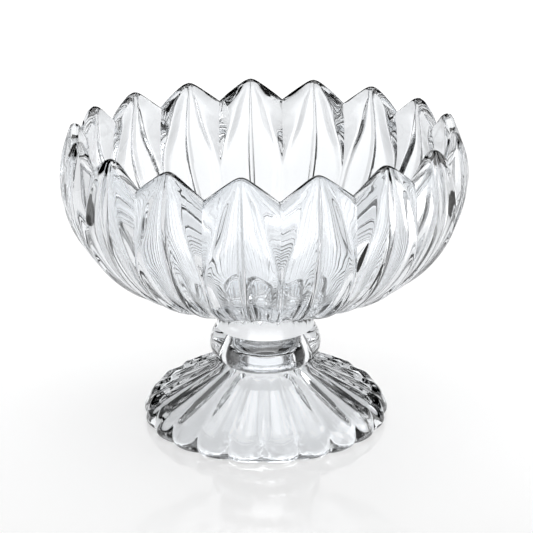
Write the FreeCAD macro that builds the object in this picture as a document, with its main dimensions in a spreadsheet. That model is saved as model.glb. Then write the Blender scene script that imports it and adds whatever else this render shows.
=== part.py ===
import FreeCAD, Part
import math
import os
import Sketcher

# Footed bowl of clear pressed glass: seventeen fluted petals, a round knop and a fluted foot.
# Millimetres. Z is up, the origin is the middle of the foot's flat underside,
# and one petal tip faces the front, which is -Y.

doc = FreeCAD.newDocument("petal_bowl")
sheet = doc.addObject("Spreadsheet::Sheet", "size")
Vector = FreeCAD.Vector

# Plain sizes of the object. Words ending in share are parts of another size.
SIZES = {
    "petal_count": 17,
    "rim_height": 145.8,
    "notch_height": 135.0,
    "tip_round": 8.0,
    "flank_slope": 39.0,
    "rim_chord_radius": 88.2,
    "rib_width_share": 0.11,
    "neck_radius": 23.5,
    "neck_bottom": 46.5,
    "neck_inset": 3.0,
    "floor_height": 62.5,
    "floor_radius": 16.0,
    "well_height": 65.0,
    "well_radius": 29.0,
    "knop_radius": 26.7,
    "knop_belly_height": 37.6,
    "knop_top_bend": 14.0,
    "knop_low_bend": 10.1,
    "knop_bottom": 28.8,
    "waist_radius": 21.5,
    "hollow_ceiling": 35.0,
    "hollow_top_radius": 12.5,
    "hollow_throat_radius": 15.5,
    "foot_radius": 59.3,
    "foot_edge_height": 4.6,
    "foot_toe_inset": 1.7,
    "foot_brow_inset": 6.8,
    "foot_brow_height": 13.2,
    "foot_brow_bend": 9.0,
    "foot_toe_bend": 5.2,
    "foot_ring_width": 5.1,
    "foot_skirt_inset": 2.3,
    "foot_skirt_height": 4.0,
    "foot_vault_radius": 25.0,
    "foot_vault_height": 20.0,
    "flute_count": 22,
    "cusp_turn": 4.8,
    "flute_start": 22.5,
    "flute_start_depth": 1.6,
    "flute_start_width": 5.4,
    "flute_end_reach": 1.7,
    "flute_end_depth": 3.0,
    "flute_end_width_share": 0.25246,
    "scallop_bend": 13.0,
    "cut_overrun": 6.0,
}

# The petals are shaped at eleven heights. At each height: the outer radius of the ridges, how far the
# middle rib lies behind it, how deep the two scoops are, where the ridge stands as a share of half
# a petal, how far the crease between two petals lies behind the ridges, and the inner radius.
LEVELS = {
    "seat": (56.4, 24.2, 0.2, 0.2, 0.93, 0.1, 0.0),
    "low": (62.0, 39.4, 1.8, 1.1, 0.93, 0.4, 0.0),
    "bend": (68.3, 56.7, 2.9, 1.7, 0.93, 0.7, 41.0),
    "belly": (76.0, 71.4, 3.2, 1.9, 0.93, 0.7, 58.0),
    "flank": (86.0, 82.1, 3.0, 1.9, 0.93, 0.6, 71.5),
    "join": (98.0, 89.8, 2.5, 1.8, 0.93, 0.5, 80.5),
    "shoulder": (108.5, 93.7, 2.0, 1.7, 0.84, 2.6, 85.5),
    "chest": (121.0, 95.3, 1.4, 1.4, 0.62, 4.4, 88.0),
    "crest": (134.5, 93.7, 0.9, 1.0, 0.39, 4.6, 87.1),
    "tip": (142.0, 91.1, 0.4, 0.3, 0.16, 4.4, 86.1),
    "top": (147.5, 88.4, 0.2, 0.1, 0.12, 4.2, 85.0),
}
PARTS_OF_LEVEL = ("height", "radius", "rib", "scoop", "ridge_share", "crease", "inner")

row = 1
for word, number in SIZES.items():
    sheet.set("A%d" % row, word)
    sheet.set("B%d" % row, str(number))
    sheet.setAlias("B%d" % row, word)
    row += 1
for level, numbers in LEVELS.items():
    for word, number in zip(PARTS_OF_LEVEL, numbers):
        sheet.set("A%d" % row, "%s_%s" % (level, word))
        sheet.set("B%d" % row, str(number))
        sheet.setAlias("B%d" % row, "%s_%s" % (level, word))
        row += 1

# Sizes that follow from the ones above.
DERIVED = {
    "foot_toe_radius": "foot_radius - foot_toe_inset",
    "foot_brow_radius": "foot_radius - foot_brow_inset",
    "foot_ring_inner": "foot_toe_radius - foot_ring_width",
    "foot_skirt_radius": "foot_ring_inner - foot_skirt_inset",
    "flute_end": "foot_radius + flute_end_reach",
    "flute_end_width": "flute_end * flute_end_width_share",
    "foot_slope": "(knop_bottom - foot_brow_height) / (foot_brow_radius - waist_radius)",
    "flute_start_top": "knop_bottom - (flute_start - waist_radius) * foot_slope",
    "flute_start_low": "flute_start_top - flute_start_depth",
    "flute_start_half": "flute_start_width / 2",
    "flute_end_top": "knop_bottom - (flute_end - waist_radius) * foot_slope",
    "flute_end_low": "flute_end_top - flute_end_depth",
    "flute_end_half": "flute_end_width / 2",
    "flute_cut_top": "knop_bottom + cut_overrun",
    "flute_start_bend": "flute_start_half ^ 2 / (2 * flute_start_depth) + flute_start_depth / 2",
    "flute_end_bend": "flute_end_half ^ 2 / (2 * flute_end_depth) + flute_end_depth / 2",
    "scallop_middle": "foot_radius - scallop_bend",
    "cusp_radius": "scallop_middle * cos(180 / flute_count) + sqrt(scallop_bend ^ 2 "
                   "- (scallop_middle * sin(180 / flute_count)) ^ 2)",
    "cusp_along": "cusp_radius * cos(180 / flute_count)",
    "cusp_aside": "cusp_radius * sin(180 / flute_count)",
    "edge_cut_radius": "foot_radius + cut_overrun",
    "edge_cut_along": "edge_cut_radius * cos(180 / flute_count)",
    "edge_cut_aside": "edge_cut_radius * sin(180 / flute_count)",
    "edge_cut_height": "foot_brow_height + cut_overrun",
    "flute_turn": "cusp_turn + 180 / flute_count",
}
for word, formula in DERIVED.items():
    sheet.set("A%d" % row, word)
    sheet.set("B%d" % row, "=" + formula)
    sheet.setAlias("B%d" % row, word)
    row += 1
doc.recompute()


def size(word):
    """Number that stands in the sheet under this word."""
    value = sheet.get(word)
    return float(getattr(value, "Value", value))


def origin_plane(body, role):
    """Origin plane of the body with this role."""
    for feature in body.Origin.OriginFeatures:
        if feature.Role == role:
            return feature


def new_sketch(body, name, role, lift=None):
    """Empty sketch on an origin plane, lifted along the plane's normal by a named size."""
    sketch = body.newObject("Sketcher::SketchObject", name)
    sketch.AttachmentSupport = (origin_plane(body, role), [""])
    sketch.MapMode = "FlatFace"
    if lift:
        sketch.setExpression(".AttachmentOffset.Base.z", "size." + lift)
    return sketch


def number_of(word):
    """Number of a coordinate: zero, a word or a word with a minus sign."""
    if word == 0:
        return 0.0
    if word.startswith("-"):
        return -size(word[1:])
    return size(word)


def pin(sketch, kind, item, end, word):
    """Fix one coordinate of a point to zero or to a named size."""
    index = sketch.addConstraint(Sketcher.Constraint(kind, -1, 1, item, end, number_of(word)))
    if word != 0:
        sign = "-" if word.startswith("-") else ""
        sketch.setExpression("Constraints[%d]" % index, "%ssize.%s" % (sign, word.lstrip("-")))


def arc_between(start, end, bend, side):
    """Arc of a radius from start to end; side +1 puts the middle left of the way, -1 right."""
    half = (end - start) * 0.5
    reach = math.sqrt(max(bend * bend - half.Length ** 2, 0.0))
    left = Vector(-half.y, half.x, 0).normalize()
    middle = start + half + left * (side * reach)
    first = math.atan2(start.y - middle.y, start.x - middle.x)
    last = math.atan2(end.y - middle.y, end.x - middle.x)
    circle = Part.Circle(middle, Vector(0, 0, 1), bend)
    if side > 0:
        return Part.ArcOfCircle(circle, first, last), 1, 2
    return Part.ArcOfCircle(circle, last, first), 2, 1


def outline(sketch, corners):
    """Closed outline. A corner is (x word, y word) or (x word, y word, bend word, side):
    the stretch that leaves the corner is then an arc of that radius."""
    spots = [Vector(number_of(corner[0]), number_of(corner[1]), 0) for corner in corners]
    ends = []
    for index, corner in enumerate(corners):
        start = spots[index]
        end = spots[(index + 1) % len(spots)]
        if len(corner) > 2:
            arc, first, last = arc_between(start, end, size(corner[2]), corner[3])
            item = sketch.addGeometry(arc, False)
            ends.append((item, first, last))
        else:
            item = sketch.addGeometry(Part.LineSegment(start, end), False)
            ends.append((item, 1, 2))
    for index, corner in enumerate(corners):
        item, first, last = ends[index]
        after = ends[(index + 1) % len(ends)]
        sketch.addConstraint(Sketcher.Constraint("Coincident", item, last, after[0], after[1]))
        pin(sketch, "DistanceX", item, first, corner[0])
        pin(sketch, "DistanceY", item, first, corner[1])
    for index, corner in enumerate(corners):
        if len(corner) > 2:
            item = ends[index][0]
            rule = sketch.addConstraint(Sketcher.Constraint("Radius", item, size(corner[2])))
            sketch.setExpression("Constraints[%d]" % rule, "size." + corner[2])


def turned(body, sketch, name, kind):
    """Full turn of a sketch about the Z axis."""
    feature = body.newObject(kind, name)
    feature.Profile = sketch
    feature.ReferenceAxis = (sketch, ["V_Axis"])
    feature.Angle = 360.0
    return feature


def around(body, feature, name, count_word):
    """Copies of a cut all round the Z axis."""
    pattern = body.newObject("PartDesign::PolarPattern", name)
    pattern.Originals = [feature]
    for axis in body.Origin.OriginFeatures:
        if axis.Role == "Z_Axis":
            pattern.Axis = (axis, [""])
    pattern.Angle = 360.0
    pattern.setExpression("Occurrences", "size." + count_word)
    body.Tip = pattern
    return pattern


def at_angle(radius, angle, height):
    """Point at a radius and an angle from the front, counted towards +X."""
    return Vector(radius * math.sin(angle), -radius * math.cos(angle), height)


def petal_ring(level):
    """Closed outer outline of the bowl at one height."""
    count = int(size("petal_count"))
    half = math.pi / count
    height = size(level + "_height")
    radius = size(level + "_radius")
    rib = radius - size(level + "_rib")
    ridge_angle = half * size(level + "_ridge_share")
    rib_angle = ridge_angle * size("rib_width_share")
    scoop_angle = (rib_angle + ridge_angle) / 2
    scoop = (rib + radius) / 2 * math.cos((ridge_angle - rib_angle) / 2) - size(level + "_scoop")
    crease = radius - size(level + "_crease")
    edges = []
    for petal in range(count):
        middle = 2 * half * petal
        left_crease = at_angle(crease, middle - half, height)
        left_ridge = at_angle(radius, middle - ridge_angle, height)
        left_scoop = at_angle(scoop, middle - scoop_angle, height)
        left_rib = at_angle(rib, middle - rib_angle, height)
        right_rib = at_angle(rib, middle + rib_angle, height)
        right_scoop = at_angle(scoop, middle + scoop_angle, height)
        right_ridge = at_angle(radius, middle + ridge_angle, height)
        right_crease = at_angle(crease, middle + half, height)
        edges.append(Part.makeLine(left_crease, left_ridge))
        edges.append(Part.Arc(left_ridge, left_scoop, left_rib).toShape())
        edges.append(Part.makeLine(left_rib, right_rib))
        edges.append(Part.Arc(right_rib, right_scoop, right_ridge).toShape())
        edges.append(Part.makeLine(right_ridge, right_crease))
    return Part.Wire(edges)


def inner_ring(radius, height):
    """Closed inner outline: flat panels that meet in a crease behind each petal tip."""
    count = int(size("petal_count"))
    step = 2 * math.pi / count
    corners = [at_angle(radius, step * index, height) for index in range(count)]
    return Part.makePolygon(corners + corners[:1])


def notch_cut(petal):
    """Glass taken away above the edge between two neighbouring petal tips."""
    half = math.pi / int(size("petal_count"))
    slope = math.radians(size("flank_slope"))
    reach = size("rim_chord_radius") * math.sin(half)
    top = size("rim_height")
    bend = size("tip_round")
    over = size("cut_overrun")
    bottom = size("notch_height")
    touch = Vector(reach - bend * math.sin(slope), 0, top - bend * (1 - math.cos(slope)))
    between = Vector(reach - bend * math.sin(slope / 2), 0, top - bend * (1 - math.cos(slope / 2)))
    tip = Vector(reach, 0, top)
    side = Vector(reach + over, 0, top)
    above = Vector(reach + over, 0, top + over)
    low = Vector(0, 0, bottom)

    def mirrored(spot):
        return Vector(-spot.x, spot.y, spot.z)

    edges = [
        Part.makeLine(low, touch),
        Part.Arc(touch, between, tip).toShape(),
        Part.makeLine(tip, side),
        Part.makeLine(side, above),
        Part.makeLine(above, mirrored(above)),
        Part.makeLine(mirrored(above), mirrored(side)),
        Part.makeLine(mirrored(side), mirrored(tip)),
        Part.Arc(mirrored(tip), mirrored(between), mirrored(touch)).toShape(),
        Part.makeLine(mirrored(touch), low),
    ]
    face = Part.Face(Part.Wire(edges))
    cut = face.extrude(Vector(0, -(size("chest_radius") + over), 0))
    cut.rotate(Vector(0, 0, 0), Vector(0, 0, 1), math.degrees(half * (2 * petal + 1)))
    return cut


# The bowl: petals lofted through their heights, hollowed, with the rim cut into arches.
outer = Part.makeLoft([petal_ring(level) for level in LEVELS], True, False)
neck = Part.makeCylinder(
    size("neck_radius"),
    size("seat_height") + size("neck_inset") - size("neck_bottom"),
    Vector(0, 0, size("neck_bottom")),
)
hollow_rings = [
    inner_ring(size("floor_radius"), size("floor_height")),
    inner_ring(size("well_radius"), size("well_height")),
]
for level in LEVELS:
    if size(level + "_inner") > 0:
        hollow_rings.append(inner_ring(size(level + "_inner"), size(level + "_height")))
hollow = Part.makeLoft(hollow_rings, True, False)
notches = [notch_cut(petal) for petal in range(int(size("petal_count")))]
glass = outer.fuse(neck).cut(hollow)
glass = glass.cut(notches)
bowl = doc.addObject("Part::Feature", "bowl")
bowl.Shape = glass.Solids[0] if len(glass.Solids) == 1 else glass
bowl.Placement = FreeCAD.Placement()

# The knop: a turned ball with the top of the foot's hollow in its underside.
knop = doc.addObject("PartDesign::Body", "knop")
knop_side = new_sketch(knop, "knop_side", "XZ_Plane")
outline(knop_side, [
    (0, "knop_bottom"),
    ("waist_radius", "knop_bottom", "knop_low_bend", 1),
    ("knop_radius", "knop_belly_height", "knop_top_bend", 1),
    ("neck_radius", "neck_bottom"),
    (0, "neck_bottom"),
])
turned(knop, knop_side, "knop_turned", "PartDesign::Revolution")
doc.recompute()
knop_hollow = new_sketch(knop, "knop_hollow", "XZ_Plane")
outline(knop_hollow, [
    (0, "knop_bottom"),
    ("hollow_throat_radius", "knop_bottom"),
    ("hollow_top_radius", "hollow_ceiling"),
    (0, "hollow_ceiling"),
])
turned(knop, knop_hollow, "knop_hollowed", "PartDesign::Groove")
doc.recompute()

# The foot: a turned hollow cone, fluted on top, with a scalloped edge.
foot = doc.addObject("PartDesign::Body", "foot")
foot_side = new_sketch(foot, "foot_side", "XZ_Plane")
outline(foot_side, [
    ("hollow_throat_radius", "knop_bottom"),
    ("foot_vault_radius", "foot_vault_height"),
    ("foot_skirt_radius", "foot_skirt_height"),
    ("foot_ring_inner", 0),
    ("foot_toe_radius", 0, "foot_toe_bend", 1),
    ("foot_radius", "foot_edge_height", "foot_brow_bend", 1),
    ("foot_brow_radius", "foot_brow_height"),
    ("waist_radius", "knop_bottom"),
])
turned(foot, foot_side, "foot_turned", "PartDesign::Revolution")
doc.recompute()
flute_start = new_sketch(foot, "flute_start_side", "YZ_Plane", "flute_start")
outline(flute_start, [
    ("-flute_start_half", "flute_start_top", "flute_start_bend", 1),
    ("flute_start_half", "flute_start_top"),
    ("flute_start_half", "flute_cut_top"),
    ("-flute_start_half", "flute_cut_top"),
])
flute_end = new_sketch(foot, "flute_end_side", "YZ_Plane", "flute_end")
outline(flute_end, [
    ("-flute_end_half", "flute_end_top", "flute_end_bend", 1),
    ("flute_end_half", "flute_end_top"),
    ("flute_end_half", "flute_cut_top"),
    ("-flute_end_half", "flute_cut_top"),
])
doc.recompute()
flute = foot.newObject("PartDesign::SubtractiveLoft", "flute")
flute.Profile = flute_start
flute.Sections = [flute_end]
flute.Ruled = True
doc.recompute()
around(foot, flute, "flutes", "flute_count")
doc.recompute()
edge_plan = new_sketch(foot, "edge_plan", "XY_Plane")
outline(edge_plan, [
    ("cusp_along", "-cusp_aside", "scallop_bend", 1),
    ("cusp_along", "cusp_aside"),
    ("edge_cut_along", "edge_cut_aside"),
    ("edge_cut_along", "-edge_cut_aside"),
])
doc.recompute()
edge_cut = foot.newObject("PartDesign::Pocket", "edge_cut")
edge_cut.Profile = edge_plan
edge_cut.Midplane = True
edge_cut.setExpression("Length", "2 * size.edge_cut_height")
doc.recompute()
around(foot, edge_cut, "scallops", "flute_count")
doc.recompute()
foot.setExpression(".Placement.Rotation.Angle", "size.flute_turn - 90")
doc.recompute()

PIECES = (bowl, knop, foot)
for piece in PIECES:
    piece.Label = piece.Name

for item in doc.Objects:
    if "Invalid" in item.State or "Error" in item.State:
        raise RuntimeError("%s: %s" % (item.Name, item.State))
for piece in PIECES:
    if piece.Shape.isNull() or not piece.Shape.isValid():
        raise RuntimeError(piece.Name + " has no valid shape")
    print(piece.Name, len(piece.Shape.Solids), round(piece.Shape.Volume / 1000, 1), piece.Shape.BoundBox)

os.makedirs("parts", exist_ok=True)
for piece in PIECES:
    piece.Shape.exportStep("parts/%s.step" % piece.Name)
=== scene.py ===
import math

import bmesh
import bpy
import numpy as np
from mathutils import Matrix, Vector
from mathutils.kdtree import KDTree


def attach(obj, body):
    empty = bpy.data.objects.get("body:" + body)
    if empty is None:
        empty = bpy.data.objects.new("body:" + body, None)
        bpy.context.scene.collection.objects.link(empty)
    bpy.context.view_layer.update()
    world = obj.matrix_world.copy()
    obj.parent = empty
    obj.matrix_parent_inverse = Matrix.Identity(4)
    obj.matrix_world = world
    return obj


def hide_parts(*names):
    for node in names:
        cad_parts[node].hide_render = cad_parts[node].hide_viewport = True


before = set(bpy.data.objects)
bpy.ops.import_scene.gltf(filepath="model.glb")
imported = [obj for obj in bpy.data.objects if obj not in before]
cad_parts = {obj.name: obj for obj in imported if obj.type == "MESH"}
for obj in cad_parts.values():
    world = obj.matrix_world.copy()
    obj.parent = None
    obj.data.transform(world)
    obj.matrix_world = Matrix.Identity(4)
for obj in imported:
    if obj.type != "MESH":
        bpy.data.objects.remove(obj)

bl_info = {
    "name": "Petal candle bowl",
    "version": (1, 0, 0),
    "blender": (4, 5, 0),
    "location": "View3D > Sidebar > Candle Bowl",
    "description": "Builds a footed clear glass bowl for floating candles, with its stage",
    "category": "Object",
}

MM = 0.001

# Width of the picture and focal length of the lens, both in pixels.
PICTURE_WIDTH = 533
FOCAL_PIXELS = 1700

# Fineness of the meshes and of the side lines that they follow.
OUTER_ROWS = 78
RIM_ROWS = 7
INNER_ROWS = 34
FLUTE_COLUMNS = 20
NECK_POINTS = 6
SLOPE_POINTS = 18
WALL_POINTS = 400
KNOP_POINTS = 18

# Limits in metres for vertices in one place and for edges without length, and the sharpest fold
# in degrees that is still shaded smooth.
SAME_PLACE = 1e-6
NO_LENGTH = 1e-7
SMOOTH_FOLD = 32

# Side line along the outer ridges of the bowl: end of the straight underside and place where the
# two arcs of the wall meet, as radius and height, radius at the rim and bend of each arc.
# Millimetres, as are the other sizes up to the studio's.
UNDERSIDE_END = (56.74, 68.27)
WALL_MIDDLE = (91.99, 103.02)
RIM_RADIUS = 89.3
LOWER_BEND = 58.96
UPPER_BEND = 52.23

# A vertex's height and its share of the petal depend on each other, so both are found in a few
# rounds that start from one height.
SEARCH_START = 130.0
SEARCH_ROUNDS = 8

# How far the flat panels of the inside and the hollows of the flutes are blended into their
# neighbours, as shares of half a petal and half a flute.
PANEL_BLEND = 0.06
FLUTE_BLEND = 0.12

# Knop: bends of its two arcs, and round edge of the hollow's ceiling as steps outward and upward
# from the corner.
KNOP_LOWER_BEND = 10.1
KNOP_UPPER_BEND = 14.0
CEILING_EDGE = ((-1.5, 0.0), (-0.5, -0.3), (0.2, -1.2))

# Foot: brow of the edge, outside and inside of the ring that it stands on and two places in the
# hollow, as radius and height, then height of the toe and bends of the arcs beside it.
BROW = (52.5, 13.2)
RING_OUTSIDE = (57.6, 0.0)
RING_INSIDE = (52.5, 0.0)
SKIRT = (50.2, 4.0)
HOLLOW_MIDDLE = (25.0, 20.0)
TOE_HEIGHT = 4.6
BROW_BEND = 9.0
TOE_BEND = 5.2

# Radius where the flutes begin and where they are first full, height below which they fade, and
# radius from which the edge's scallops grow.
FLUTES_BEGIN = 22.0
FLUTES_FULL = 24.0
FADE_HEIGHT = 9.0
SCALLOPS_BEGIN = 40.0

# Studio: floor's radius in metres, its sides, how far it lies under the foot in millimetres and
# its roughness, softness of the edges of the light, camera's place in metres before it is turned
# round the bowl, and its sensor's width in millimetres.
FLOOR_RADIUS = 4.0
FLOOR_SIDES = 96
FLOOR_DROP = 0.05
FLOOR_ROUGHNESS = 0.06
ZONE_SOFTNESS = 0.07
CAMERA_PLACE = (0.000785, -0.76165, 0.34925)
SENSOR_WIDTH = 36.0

# The petals at twelve heights: height, how far the middle rib lies behind the ridges, how deep the
# scoops are, where the ridge stands as a share of half a petal, and how far the crease between
# two petals lies behind the ridges. Millimetres.
LEVELS = (
    (46.5, 0.0, 0.0, 0.93, 0.0),
    (56.4, 0.2, 0.2, 0.93, 0.1),
    (62.0, 1.8, 1.1, 0.93, 0.4),
    (68.3, 2.9, 1.7, 0.93, 0.7),
    (76.0, 3.2, 1.9, 0.93, 0.7),
    (86.0, 3.0, 1.9, 0.93, 0.6),
    (98.0, 2.5, 1.8, 0.93, 0.5),
    (108.5, 2.0, 1.7, 0.84, 2.6),
    (121.0, 1.4, 1.4, 0.62, 4.4),
    (134.5, 0.9, 1.0, 0.39, 4.6),
    (142.0, 0.4, 0.3, 0.16, 4.4),
    (147.5, 0.2, 0.1, 0.12, 4.2),
)

# Inside of the bowl from the rim to the middle of the floor: radius at the creases, height.
INSIDE = (
    (85.2, 146.0), (86.1, 142.0), (87.1, 134.5), (88.0, 121.0), (85.5, 108.5), (80.5, 98.0),
    (71.5, 86.0), (58.0, 76.0), (41.0, 68.3), (29.0, 65.0), (16.0, 62.9), (8.0, 62.5), (0.0, 62.4),
)

# Light of the studio: from and to in degrees left of the view, sine of the lowest and highest
# height, and brightness. White behind, dark at the left, a dark gap and a softbox at the right,
# and a softbox above.
ZONES = (
    (-16.0, 16.0, -1.1, 0.5, 1.05),
    (18.0, 165.0, -0.6, 0.8, 0.0),
    (-60.0, -18.0, -0.6, 0.8, 0.0),
    (-100.0, -62.0, -0.2, 0.7, 3.0),
    (-200.0, 200.0, 0.86, 1.2, 3.0),
)


def smooth(at, xs, ys):
    """Smooth line through the points, without overshoot, at the places asked for."""
    xs = np.asarray(xs, float)
    ys = np.asarray(ys, float)
    at = np.clip(at, xs[0], xs[-1])
    gap = np.diff(xs)
    rise = np.diff(ys) / gap
    slope = np.zeros(len(xs))
    same = rise[:-1] * rise[1:] > 0
    slope[1:-1][same] = 2 * rise[:-1][same] * rise[1:][same] / (rise[:-1] + rise[1:])[same]
    slope[0] = rise[0]
    slope[-1] = rise[-1]
    i = np.clip(np.searchsorted(xs, at) - 1, 0, len(xs) - 2)
    s = (at - xs[i]) / gap[i]
    return (
        ys[i] * (1 + 2 * s) * (1 - s) ** 2
        + slope[i] * gap[i] * s * (1 - s) ** 2
        + ys[i + 1] * s * s * (3 - 2 * s)
        + slope[i + 1] * gap[i] * s * s * (s - 1)
    )


def arc(start, end, bend, count):
    """Points after start up to end on an arc that bulges to the right of the way."""
    half = ((end[0] - start[0]) / 2, (end[1] - start[1]) / 2)
    length = math.hypot(*half)
    reach = math.sqrt(max(bend * bend - length * length, 0.0))
    middle = (
        start[0] + half[0] - half[1] / length * reach,
        start[1] + half[1] + half[0] / length * reach,
    )
    first = math.atan2(start[1] - middle[1], start[0] - middle[0])
    turn = 2 * math.asin(min(length / bend, 1.0))
    points = []
    for i in range(1, count + 1):
        angle = first + turn * i / count
        points.append((middle[0] + bend * math.cos(angle), middle[1] + bend * math.sin(angle)))
    return points


def arc_back(start, end, bend, count):
    """Points after start up to end on an arc that bulges to the left of the way."""
    return arc(end, start, bend, count)[-2::-1] + [end]


def straight(start, end, count):
    """Points after start up to end on a straight line."""
    return [
        (start[0] + (end[0] - start[0]) * i / count, start[1] + (end[1] - start[1]) * i / count)
        for i in range(1, count + 1)
    ]


def blended(shape, share, reach):
    """Shape at a share, blended with the shape a reach to each side."""
    return (shape(share - reach) + 2 * shape(share) + shape(share + reach)) / 4


def spun(profile, steps, ring=False):
    """Body of revolution from a side line that ends on the axis, or from one closed to a ring."""
    bm = bmesh.new()
    verts = [bm.verts.new((radius, 0.0, height)) for radius, height in profile]
    after = verts[1:] + verts[:1] if ring else verts[1:]
    edges = [bm.edges.new(pair) for pair in zip(verts, after)]
    bmesh.ops.spin(
        bm, geom=verts + edges, axis=(0, 0, 1), cent=(0, 0, 0),
        angle=2 * math.pi, steps=steps, use_merge=True,
    )
    return bm


def places(bm, profile, steps):
    """Row in the side line and column round the axis of every vertex."""
    tree = KDTree(len(profile))
    for index, (radius, height) in enumerate(profile):
        tree.insert((radius, 0.0, height), index)
    tree.balance()
    bm.verts.ensure_lookup_table()
    rows = np.array([tree.find((math.hypot(v.co.x, v.co.y), 0.0, v.co.z))[1] for v in bm.verts])
    angles = np.array([math.atan2(v.co.y, v.co.x) for v in bm.verts])
    columns = np.rint(angles / (2 * math.pi / steps)).astype(int) % steps
    return rows, columns


def settle(bm, radius, angle, height):
    """Move every vertex; angles count from the front towards +X."""
    xs = radius * np.sin(angle) * MM
    ys = -radius * np.cos(angle) * MM
    zs = height * MM
    for vert, x, y, z in zip(bm.verts, xs, ys, zs):
        vert.co = (x, y, z)


def put_in_order(bm):
    """Order the faces by their vertices, because a spin leaves them in a chance order."""
    bm.verts.index_update()
    count = len(bm.verts)

    def number(face):
        corners = [vert.index for vert in face.verts]
        return min(corners) * count + max(corners)

    bm.faces.sort(key=number)


def finish_piece(bm, name, node, slot, joints):
    """Close the mesh, turn the normals outward, open the hot joints and hand the piece over."""
    bmesh.ops.remove_doubles(bm, verts=bm.verts, dist=SAME_PLACE)
    bmesh.ops.dissolve_degenerate(bm, edges=bm.edges, dist=NO_LENGTH)
    bmesh.ops.recalc_face_normals(bm, faces=bm.faces)
    hidden = [
        face for face in bm.faces
        if any(all(abs(v.co.z - joint * MM) < SAME_PLACE for v in face.verts) for joint in joints)
    ]
    bmesh.ops.delete(bm, geom=hidden, context="FACES")
    put_in_order(bm)
    mesh = bpy.data.meshes.new(name)
    bm.to_mesh(mesh)
    bm.free()
    mesh.shade_smooth()
    mesh.set_sharp_from_angle(angle=math.radians(SMOOTH_FOLD))
    piece = bpy.data.objects.new(name, mesh)
    bpy.context.scene.collection.objects.link(piece)
    mesh.materials.append(glass(slot, bpy.context.scene.candle_bowl_glass))
    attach(piece, "root")
    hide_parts(node)
    return piece


def glass(name, look):
    """Clear pressed glass with a faint tint and the slight waviness left by the mould."""
    material = bpy.data.materials.new(name)
    material.use_nodes = True
    nodes = material.node_tree.nodes
    links = material.node_tree.links
    shader = nodes["Principled BSDF"]
    shader.inputs["Transmission Weight"].default_value = 1.0
    shader.inputs["IOR"].default_value = look.ior
    shader.inputs["Roughness"].default_value = 0.0
    where = nodes.new("ShaderNodeTexCoord")
    cloud = nodes.new("ShaderNodeTexNoise")
    cloud.inputs["Scale"].default_value = look.tint_scale
    links.new(where.outputs["Object"], cloud.inputs["Vector"])
    tint = nodes.new("ShaderNodeMix")
    tint.data_type = "RGBA"
    tint.inputs["A"].default_value = (*look.light_tint, 1.0)
    tint.inputs["B"].default_value = (*look.dark_tint, 1.0)
    links.new(cloud.outputs["Fac"], tint.inputs["Factor"])
    links.new(tint.outputs["Result"], shader.inputs["Base Color"])
    waves = nodes.new("ShaderNodeTexNoise")
    waves.inputs["Scale"].default_value = look.wave_scale
    waves.inputs["Detail"].default_value = 1.0
    links.new(where.outputs["Object"], waves.inputs["Vector"])
    bump = nodes.new("ShaderNodeBump")
    bump.inputs["Strength"].default_value = 1.0
    bump.inputs["Distance"].default_value = look.wave_height * MM
    links.new(waves.outputs["Fac"], bump.inputs["Height"])
    links.new(bump.outputs["Normal"], shader.inputs["Normal"])
    return material


class CandleBowlForm(bpy.types.PropertyGroup):
    """Sizes of the petalled bowl in millimetres."""

    petals: bpy.props.IntProperty(name="Petals", description="Number of petals", default=17)
    rim_height: bpy.props.FloatProperty(
        name="Rim height", description="Height of the petal tips", default=145.8)
    rim_drop: bpy.props.FloatProperty(
        name="Rim drop", description="How far the notches lie below the tips", default=10.8)
    tip_round: bpy.props.FloatProperty(
        name="Tip round", description="How blunt the tips are", subtype="FACTOR",
        min=0.0, max=1.0, default=0.03)
    rim_round: bpy.props.FloatProperty(
        name="Rim round", description="Height of the rounding of the rim", default=1.6)
    neck_radius: bpy.props.FloatProperty(
        name="Neck radius", description="Radius of the neck on the knop", default=23.5)
    neck_bottom: bpy.props.FloatProperty(
        name="Neck bottom", description="Height of the joint with the knop", default=46.5)
    neck_top: bpy.props.FloatProperty(
        name="Neck top", description="Height where the bowl spreads from the neck", default=56.3)
    rib_share: bpy.props.FloatProperty(
        name="Rib share", description="Width of the rib as a share of the ridges",
        subtype="FACTOR", min=0.0, max=1.0, default=0.11)
    rib_crown: bpy.props.FloatProperty(
        name="Rib crown", description="How far the rib bulges", default=0.5)
    soften: bpy.props.FloatProperty(
        name="Soften", description="Reach of the rounding of the ridges", default=0.7)
    relief: bpy.props.FloatProperty(
        name="Relief", description="Strength of ribs and scoops", default=1.0)


class CandleBowlFoot(bpy.types.PropertyGroup):
    """Sizes of the fluted foot in millimetres."""

    flutes: bpy.props.IntProperty(name="Flutes", description="Number of flutes", default=22)
    cusp_turn: bpy.props.FloatProperty(
        name="Cusp turn", description="Angle of one notch from the front", subtype="ANGLE",
        default=math.radians(4.8))
    radius: bpy.props.FloatProperty(
        name="Radius", description="Radius of the foot", default=59.3)
    scallop_bend: bpy.props.FloatProperty(
        name="Scallop bend", description="Radius of each scallop of the edge", default=13.0)
    depth_start: bpy.props.FloatProperty(
        name="Depth at start", description="Depth of a flute at the waist", default=1.6)
    depth_end: bpy.props.FloatProperty(
        name="Depth at end", description="Depth of a flute at the edge", default=3.0)


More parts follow.
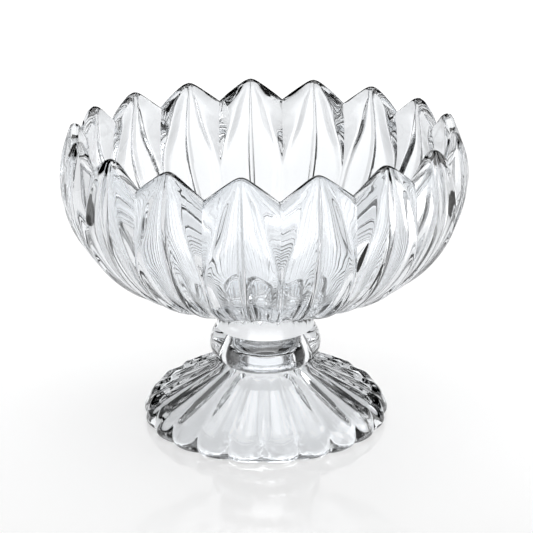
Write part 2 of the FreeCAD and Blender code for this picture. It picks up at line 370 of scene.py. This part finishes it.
class CandleBowlKnop(bpy.types.PropertyGroup):
    """Sizes of the round knop in millimetres."""

    radius: bpy.props.FloatProperty(name="Radius", description="Widest radius", default=26.7)
    widest: bpy.props.FloatProperty(
        name="Widest height", description="Height of the widest ring", default=37.6)
    waist_radius: bpy.props.FloatProperty(
        name="Waist radius", description="Radius at the joint with the foot", default=21.5)
    waist_height: bpy.props.FloatProperty(
        name="Waist height", description="Height of the joint with the foot", default=28.8)
    hollow_radius: bpy.props.FloatProperty(
        name="Hollow radius", description="Radius of the hollow's ceiling", default=12.5)
    hollow_height: bpy.props.FloatProperty(
        name="Hollow height", description="Height of the hollow's ceiling", default=35.0)
    throat_radius: bpy.props.FloatProperty(
        name="Throat radius", description="Radius of the hollow at the waist", default=15.5)


class CandleBowlGlass(bpy.types.PropertyGroup):
    """Look of the glass."""

    ior: bpy.props.FloatProperty(name="IOR", description="Index of refraction", default=1.55)
    light_tint: bpy.props.FloatVectorProperty(
        name="Light tint", description="Colour of the clearest glass", subtype="COLOR",
        default=(0.975, 0.986, 1.0))
    dark_tint: bpy.props.FloatVectorProperty(
        name="Dark tint", description="Colour of the most tinted glass", subtype="COLOR",
        default=(0.945, 0.9725, 1.0))
    tint_scale: bpy.props.FloatProperty(
        name="Tint scale", description="Scale of the tint's clouds", default=14.0)
    wave_scale: bpy.props.FloatProperty(
        name="Wave scale", description="Scale of the surface's waves", default=45.0)
    wave_height: bpy.props.FloatProperty(
        name="Wave height", description="Height of the waves in millimetres", default=0.03)


class CandleBowlStage(bpy.types.PropertyGroup):
    """Camera, floor and light."""

    turn: bpy.props.FloatProperty(
        name="Turn", description="How far the camera stands round from the front",
        subtype="ANGLE", default=math.radians(6.2))
    focal: bpy.props.FloatProperty(
        name="Focal share", description="Focal length as a share of the picture's width",
        default=FOCAL_PIXELS / PICTURE_WIDTH)
    pitch: bpy.props.FloatProperty(
        name="Pitch", description="How far the camera looks down", subtype="ANGLE",
        default=math.radians(19.786))
    roll: bpy.props.FloatProperty(
        name="Roll", description="How far the camera is rolled", subtype="ANGLE",
        default=math.radians(-0.396))
    fill: bpy.props.FloatProperty(
        name="Fill", description="Light of the room between the named zones", subtype="FACTOR",
        min=0.0, max=1.0, default=0.15)
    floor_tone: bpy.props.FloatProperty(
        name="Floor tone", description="Base colour of the floor", subtype="FACTOR",
        min=0.0, max=1.0, default=0.45)
    floor_gloss: bpy.props.FloatProperty(
        name="Floor gloss", description="Strength of the floor's reflection", subtype="FACTOR",
        min=0.0, max=1.0, default=0.7)
    floor_glow: bpy.props.FloatProperty(
        name="Floor glow", description="Light added to the floor to bring it to white",
        default=0.57)


def envelope(form):
    """Side line along the outer ridges: neck, underside and two arcs of the wall."""
    points = [(form.neck_radius, form.neck_bottom)]
    points += straight(points[-1], (form.neck_radius, form.neck_top), NECK_POINTS)
    points += straight(points[-1], UNDERSIDE_END, SLOPE_POINTS)
    points += arc(points[-1], WALL_MIDDLE, LOWER_BEND, WALL_POINTS)
    points += arc(points[-1], (RIM_RADIUS, form.rim_height), UPPER_BEND, WALL_POINTS)
    return points


def petal_stations():
    """Signed stations of one petal: rib 0 to 1, scoop 1 to 2, wedge 2 to 3."""
    rib = (0, .3, .6, .85, 1)
    scoop = (1.06, 1.14, 1.23, 1.32, 1.41, 1.5, 1.59, 1.68, 1.77, 1.86, 1.94, 2)
    wedge = (2.04, 2.1, 2.2, 2.35, 2.55, 2.78, 3)
    half = rib + scoop + wedge
    return np.array([-u for u in half[:0:-1]] + list(half[:-1]))


def ridge_share(height):
    """Where the ridge stands, as a share of half a petal."""
    return smooth(height, [row[0] for row in LEVELS], [row[3] for row in LEVELS])


def share_of(height, station, form):
    """Share of half a petal at a station."""
    ridge = ridge_share(height)
    rib = ridge * form.rib_share
    inside = np.where(station <= 1, station * rib, rib + (ridge - rib) * (station - 1))
    return np.where(station <= 2, inside, ridge + (1 - ridge) * (station - 2))


def folded(share):
    """Share of half a petal brought back between zero and one."""
    share = np.abs(share)
    return np.where(share > 1, 2 - share, share)


def outer_radius(height, share, form, line):
    """Radius of the outside at a height and a share of half a petal, with soft ridges."""
    outer = np.interp(height, line[:, 1], line[:, 0])
    marks = [row[0] for row in LEVELS]
    rib_back = smooth(height, marks, [row[1] for row in LEVELS]) * form.relief
    scoop = smooth(height, marks, [row[2] for row in LEVELS]) * form.relief
    crease = smooth(height, marks, [row[4] for row in LEVELS])
    ridge = ridge_share(height)
    rib = ridge * form.rib_share
    half_width = outer * math.pi / form.petals
    here = folded(share)
    off = (here - ridge) * half_width
    soft = np.sqrt(off * off + form.soften ** 2)
    way = np.clip(1 - (soft - off) / 2 / ((ridge - rib) * half_width), 0, 1)
    fall = (soft + off) / 2 / ((1 - ridge) * half_width)
    crown = form.rib_crown * rib_back * np.clip(1 - (here / rib) ** 2, 0, 1)
    total = rib_back * (1 - way) - crown + scoop * 4 * way * (1 - way) + crease * fall
    return outer - total


class CANDLE_BOWL_OT_bowl(bpy.types.Operator):
    """Build the petalled bowl"""

    bl_idname = "candle_bowl.bowl"
    bl_label = "Bowl"

    def execute(self, context):
        form = context.scene.candle_bowl_form
        line = np.array(envelope(form))
        top = form.rim_height - form.rim_round
        length = np.r_[0, np.cumsum(np.hypot(*np.diff(line, axis=0).T))]
        along = np.interp(np.linspace(0, 1, OUTER_ROWS), length / length[-1], line[:, 1])
        outer_share = (along - form.neck_bottom) / (along[-1] - form.neck_bottom)
        inside = np.array(INSIDE)
        run = np.r_[0, np.cumsum(np.hypot(*np.diff(inside, axis=0).T))]
        marks = np.linspace(0, 1, INNER_ROWS + 1)[1:]
        inner_r = smooth(marks * run[-1], run, inside[:, 0])
        inner_z = smooth(marks * run[-1], run, inside[:, 1])
        rim = np.linspace(0, math.pi, RIM_ROWS + 1)[1:]

        profile = [(0.0, form.neck_bottom)]
        profile += [
            (float(np.interp(z, line[:, 1], line[:, 0])), float(z))
            for z in form.neck_bottom + (top - form.neck_bottom) * outer_share
        ]
        outer_top = profile[-1][0]
        inner_top = inside[0, 0]
        for q in rim:
            profile.append((
                (outer_top + inner_top) / 2 + (outer_top - inner_top) / 2 * math.cos(q),
                top + form.rim_round * math.sin(q),
            ))
        profile += [(float(r), float(z) - form.rim_round) for r, z in zip(inner_r, inner_z)]

        stations = petal_stations()
        steps = form.petals * len(stations)
        bm = spun(profile, steps)
        rows, columns = places(bm, profile, steps)
        half = math.pi / form.petals
        station = stations[columns % len(stations)]
        side = np.sign(station)
        station = np.abs(station)
        middle = columns // len(stations) * 2 * half

        def rim_top(share):
            blunt = form.tip_round
            rise = np.sqrt(share ** 2 + blunt) - math.sqrt(blunt)
            return form.rim_height - form.rim_drop * rise / (math.sqrt(1 + blunt) - math.sqrt(blunt))

        def settled(part):
            height = np.full(len(rows), SEARCH_START)
            for _ in range(SEARCH_ROUNDS):
                share = share_of(height, station, form)
                goal = rim_top(share) - form.rim_round
                height = form.neck_bottom + (goal - form.neck_bottom) * part
            return height

        outer_rows = len(outer_share)
        is_base = rows == 0
        is_outer = (rows >= 1) & (rows <= outer_rows)
        is_rim = (rows > outer_rows) & (rows <= outer_rows + len(rim))
        is_inner = rows > outer_rows + len(rim)

        part = outer_share[np.clip(rows - 1, 0, outer_rows - 1)]
        height = settled(part)
        share = share_of(height, station, form)
        radius = outer_radius(height, share, form, line)
        angle = middle + side * share * half

        edge = settled(np.ones(len(rows)))
        edge_share = share_of(edge, station, form)
        edge_outer = outer_radius(edge, edge_share, form, line)
        up = inside[::-1]

        def facet(at):
            return math.cos(half) / np.cos(half * (1 - folded(at)))

        def panel(reach):
            return reach * blended(facet, edge_share, PANEL_BLEND)

        edge_inner = panel(smooth(edge, up[:, 1], up[:, 0]))
        q = np.r_[rim, 0][np.clip(rows - outer_rows - 1, 0, len(rim) - 1)]
        rim_radius = (edge_outer + edge_inner) / 2 + (edge_outer - edge_inner) / 2 * np.cos(q)
        rim_height = edge + form.rim_round * np.sin(q)

        deep = np.clip(rows - outer_rows - len(rim) - 1, 0, len(marks) - 1)
        low = inside[-1, 1]
        deep_height = low + (inner_z[deep] - low) * (edge - low) / (inside[0, 1] - low)
        deep_radius = panel(inner_r[deep])

        final_radius = np.select([is_base, is_outer, is_rim, is_inner],
                                 [0.0, radius, rim_radius, deep_radius])
        final_height = np.select([is_base, is_outer, is_rim, is_inner],
                                 [form.neck_bottom, height, rim_height, deep_height])
        final_angle = np.where(is_outer, angle, middle + side * edge_share * half)
        settle(bm, final_radius, final_angle, final_height)
        finish_piece(bm, "petal_bowl", "bowl", "bowl_glass", [form.neck_bottom])
        return {"FINISHED"}


class CANDLE_BOWL_OT_knop(bpy.types.Operator):
    """Build the round knop"""

    bl_idname = "candle_bowl.knop"
    bl_label = "Knop"

    def execute(self, context):
        knop = context.scene.candle_bowl_knop
        form = context.scene.candle_bowl_form
        corner = [(knop.hollow_radius + out, knop.hollow_height + up) for out, up in CEILING_EDGE]
        profile = [(0.0, knop.hollow_height)]
        profile += straight(profile[-1], corner[0], 8)
        profile += corner[1:]
        profile += straight(profile[-1], (knop.throat_radius, knop.waist_height), 6)
        profile += straight(profile[-1], (knop.waist_radius, knop.waist_height), 2)
        profile += arc(profile[-1], (knop.radius, knop.widest), KNOP_LOWER_BEND, KNOP_POINTS)
        neck = (form.neck_radius, form.neck_bottom)
        profile += arc(profile[-1], neck, KNOP_UPPER_BEND, KNOP_POINTS)
        profile += [(0.0, form.neck_bottom)]
        steps = form.petals * len(petal_stations())
        bm = spun(profile, steps)
        rows, columns = places(bm, profile, steps)
        line = np.array(profile)
        settle(bm, line[rows, 0], columns * 2 * math.pi / steps, line[rows, 1])
        finish_piece(bm, "round_knop", "knop", "knop_glass", [knop.waist_height, form.neck_bottom])
        return {"FINISHED"}


class CANDLE_BOWL_OT_foot(bpy.types.Operator):
    """Build the fluted foot"""

    bl_idname = "candle_bowl.foot"
    bl_label = "Foot"

    def execute(self, context):
        foot = context.scene.candle_bowl_foot
        knop = context.scene.candle_bowl_knop
        start = (knop.throat_radius, knop.waist_height)
        profile = [start]
        profile += straight(start, (knop.waist_radius, knop.waist_height), 2)
        cone = len(profile)
        profile += straight(profile[-1], BROW, 30)
        # The edge turns down through the brow and the toe to the ring that it stands on.
        profile += arc_back(profile[-1], (foot.radius, TOE_HEIGHT), BROW_BEND, 10)
        profile += arc_back(profile[-1], RING_OUTSIDE, TOE_BEND, 6)
        profile += straight(profile[-1], RING_INSIDE, 3)
        profile += straight(profile[-1], SKIRT, 4)
        inner = len(profile)
        profile += straight(profile[-1], HOLLOW_MIDDLE, 12)
        profile += straight(profile[-1], start, 6)[:-1]
        steps = foot.flutes * FLUTE_COLUMNS
        bm = spun(profile, steps, ring=True)
        rows, columns = places(bm, profile, steps)
        line = np.array(profile)
        radius = line[rows, 0]
        height = line[rows, 1]
        step = 2 * math.pi / foot.flutes
        angle = columns * 2 * math.pi / steps + foot.cusp_turn + step / 2
        share = columns % FLUTE_COLUMNS / FLUTE_COLUMNS
        share = np.where(share > 0.5, 1 - share, share) * 2

        def hollow(at):
            at = folded(at)
            return 1 - at * at

        shape = blended(hollow, share, FLUTE_BLEND)
        depth = np.interp(radius, [FLUTES_BEGIN, FLUTES_FULL, foot.radius],
                          [0.0, foot.depth_start, foot.depth_end])
        on_top = (rows >= cone) & (rows < inner)
        fade = np.clip(height / FADE_HEIGHT, 0, 1)
        height = np.where(on_top, height - depth * shape * fade, height)
        middle = foot.radius - foot.scallop_bend
        off = share * step / 2
        edge = middle * np.cos(off) + np.sqrt(foot.scallop_bend ** 2 - (middle * np.sin(off)) ** 2)
        weight = np.clip((radius - SCALLOPS_BEGIN) / (foot.radius - SCALLOPS_BEGIN), 0, 1) ** 2
        weight = np.where(on_top, weight, 0)
        radius = radius * (1 + (edge / foot.radius - 1) * weight)
        settle(bm, radius, angle, height)
        finish_piece(bm, "fluted_foot", "foot", "foot_glass", [knop.waist_height])
        return {"FINISHED"}


class CANDLE_BOWL_OT_stage(bpy.types.Operator):
    """Set up the floor, the light and the camera"""

    bl_idname = "candle_bowl.stage"
    bl_label = "Stage"

    def execute(self, context):
        look = context.scene.candle_bowl_stage
        bm = bmesh.new()
        bmesh.ops.create_circle(bm, cap_ends=True, segments=FLOOR_SIDES, radius=FLOOR_RADIUS)
        bmesh.ops.translate(bm, verts=bm.verts, vec=(0, 0, -FLOOR_DROP * MM))
        mesh = bpy.data.meshes.new("floor")
        bm.to_mesh(mesh)
        bm.free()
        floor = bpy.data.objects.new("floor", mesh)
        context.scene.collection.objects.link(floor)
        material = bpy.data.materials.new("floor")
        material.use_nodes = True
        shader = material.node_tree.nodes["Principled BSDF"]
        shader.inputs["Base Color"].default_value = (
            look.floor_tone, look.floor_tone, look.floor_tone, 1.0)
        shader.inputs["Roughness"].default_value = FLOOR_ROUGHNESS
        shader.inputs["Specular IOR Level"].default_value = look.floor_gloss
        shader.inputs["Emission Color"].default_value = (1.0, 1.0, 1.0, 1.0)
        shader.inputs["Emission Strength"].default_value = look.floor_glow
        mesh.materials.append(material)

        world = bpy.data.worlds.new("studio")
        context.scene.world = world
        world.use_nodes = True
        nodes = world.node_tree.nodes
        links = world.node_tree.links

        def maths(operation, first, second=None, clamp=False):
            node = nodes.new("ShaderNodeMath")
            node.operation = operation
            node.use_clamp = clamp
            for index, value in enumerate((first, second)):
                if value is None:
                    continue
                if isinstance(value, (int, float)):
                    node.inputs[index].default_value = value
                else:
                    links.new(value, node.inputs[index])
            return node.outputs[0]

        def band(value, low, high, soft):
            rising = maths("MULTIPLY", maths("SUBTRACT", value, low), 1 / soft, True)
            falling = maths("MULTIPLY", maths("SUBTRACT", high, value), 1 / soft, True)
            return maths("MULTIPLY", rising, falling)

        where = nodes.new("ShaderNodeTexCoord")
        split = nodes.new("ShaderNodeSeparateXYZ")
        links.new(where.outputs["Generated"], split.inputs[0])
        left = maths("MULTIPLY", split.outputs["X"], -1.0)
        angle = maths("ARCTAN2", left, split.outputs["Y"])
        turn = look.turn
        value = look.fill
        for start, end, low, high, level in ZONES:
            zone = maths(
                "MULTIPLY",
                band(angle, math.radians(start) + turn, math.radians(end) + turn, ZONE_SOFTNESS),
                band(split.outputs["Z"], low, high, ZONE_SOFTNESS),
            )
            value = maths("ADD", value, maths("MULTIPLY", zone, level - look.fill))
        links.new(value, nodes["Background"].inputs["Color"])
        nodes["Background"].inputs["Strength"].default_value = 1.0
        context.scene.view_settings.view_transform = "Standard"

        data = bpy.data.cameras.new("camera")
        data.sensor_width = SENSOR_WIDTH
        data.lens = SENSOR_WIDTH * look.focal
        camera = bpy.data.objects.new("camera", data)
        context.scene.collection.objects.link(camera)
        context.scene.camera = camera
        forward = Vector((0, math.cos(look.pitch), -math.sin(look.pitch)))
        upward = Vector((0, math.sin(look.pitch), math.cos(look.pitch)))
        right = Vector((1, 0, 0))
        across = right * math.cos(look.roll) + upward * math.sin(look.roll)
        above = upward * math.cos(look.roll) - right * math.sin(look.roll)
        matrix = Matrix((
            (across.x, above.x, -forward.x, CAMERA_PLACE[0]),
            (across.y, above.y, -forward.y, CAMERA_PLACE[1]),
            (across.z, above.z, -forward.z, CAMERA_PLACE[2]),
            (0, 0, 0, 1),
        ))
        camera.matrix_world = Matrix.Rotation(turn, 4, "Z") @ matrix
        return {"FINISHED"}


class CANDLE_BOWL_PT_panel(bpy.types.Panel):
    """Panel with the steps of the bowl"""

    bl_idname = "CANDLE_BOWL_PT_panel"
    bl_label = "Candle Bowl"
    bl_space_type = "VIEW_3D"
    bl_region_type = "UI"
    bl_category = "Candle Bowl"

    def draw(self, context):
        for part in ("form", "knop", "foot", "glass", "stage"):
            group = getattr(context.scene, "candle_bowl_" + part)
            box = self.layout.box()
            for prop in group.bl_rna.properties:
                if prop.identifier not in ("rna_type", "name"):
                    box.prop(group, prop.identifier)
        for step in ("bowl", "knop", "foot", "stage"):
            self.layout.operator("candle_bowl." + step)


GROUPS = {
    "candle_bowl_form": CandleBowlForm,
    "candle_bowl_knop": CandleBowlKnop,
    "candle_bowl_foot": CandleBowlFoot,
    "candle_bowl_glass": CandleBowlGlass,
    "candle_bowl_stage": CandleBowlStage,
}
OTHERS = (
    CANDLE_BOWL_OT_bowl,
    CANDLE_BOWL_OT_knop,
    CANDLE_BOWL_OT_foot,
    CANDLE_BOWL_OT_stage,
    CANDLE_BOWL_PT_panel,
)


def register():
    for cls in list(GROUPS.values()) + list(OTHERS):
        bpy.utils.register_class(cls)
    for name, cls in GROUPS.items():
        setattr(bpy.types.Scene, name, bpy.props.PointerProperty(type=cls))


def unregister():
    for name in GROUPS:
        delattr(bpy.types.Scene, name)
    for cls in reversed(list(GROUPS.values()) + list(OTHERS)):
        bpy.utils.unregister_class(cls)


def main():
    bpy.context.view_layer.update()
    register()
    bpy.ops.candle_bowl.bowl()
    bpy.ops.candle_bowl.knop()
    bpy.ops.candle_bowl.foot()
    bpy.ops.candle_bowl.stage()


if __name__ == "__main__":
    main()
